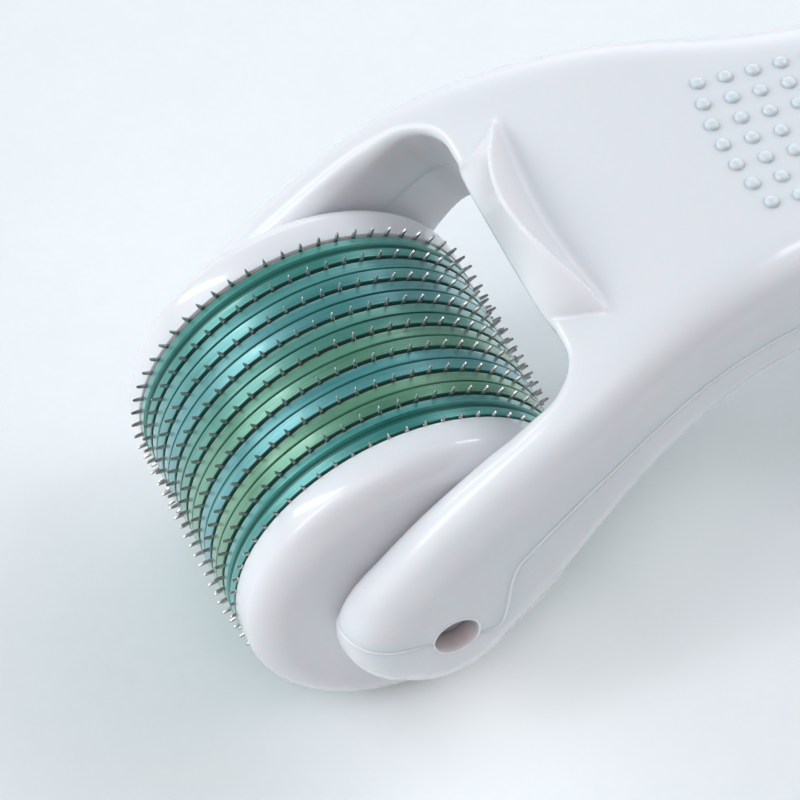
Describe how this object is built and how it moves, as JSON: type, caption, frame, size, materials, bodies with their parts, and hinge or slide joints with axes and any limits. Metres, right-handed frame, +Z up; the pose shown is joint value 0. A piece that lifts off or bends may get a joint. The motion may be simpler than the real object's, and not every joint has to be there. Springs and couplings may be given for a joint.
{
  "type": "derma roller",
  "caption": "Skin needling roller: fork handle in two shells with a finger stop and raised grip dots, and a free-running drum of toothed needle discs between tinted spacer rings.",
  "frame": {"origin": "centre of the drum, on its rolling axis, midway between the arms", "axes": "+X from the drum along the handle, +Y along the drum's axle, +Z up"},
  "size_m": [0.1415, 0.027, 0.0278],
  "materials": {
    "handle_plastic": "smooth glossy injection-moulded ABS",
    "cap_plastic": "glossy injection-moulded plastic",
    "core_plastic": "plain moulded plastic",
    "needle_steel": "stamped thin steel",
    "teal_tint": "clear tinted plastic, polished",
    "blue_tint": "clear tinted plastic, polished",
    "green_tint": "clear tinted plastic, polished"
  },
  "bodies": {
    "handle": {"upper_shell": "handle_plastic", "lower_shell": "handle_plastic"},
    "drum": {"drum_core": "core_plastic", "left_end_cap": "cap_plastic", "right_end_cap": "cap_plastic", "needle_disc_1": "needle_steel", "needle_disc_2": "needle_steel", "needle_disc_3": "needle_steel", "needle_disc_4": "needle_steel", "needle_disc_5": "needle_steel", "needle_disc_6": "needle_steel", "needle_disc_7": "needle_steel", "needle_disc_8": "needle_steel", "needle_disc_9": "needle_steel", "spacer_ring_1": "teal_tint", "spacer_ring_2": "teal_tint", "spacer_ring_3": "blue_tint", "spacer_ring_4": "teal_tint", "spacer_ring_5": "green_tint", "spacer_ring_6": "blue_tint", "spacer_ring_7": "green_tint", "spacer_ring_8": "teal_tint"}
  },
  "joints": [
    {"name": "drum_spin", "type": "hinge", "parent": "handle", "child": "drum", "pos_m": [0, 0, 0], "axis": [0, 1, 0], "continuous": true}
  ]
}
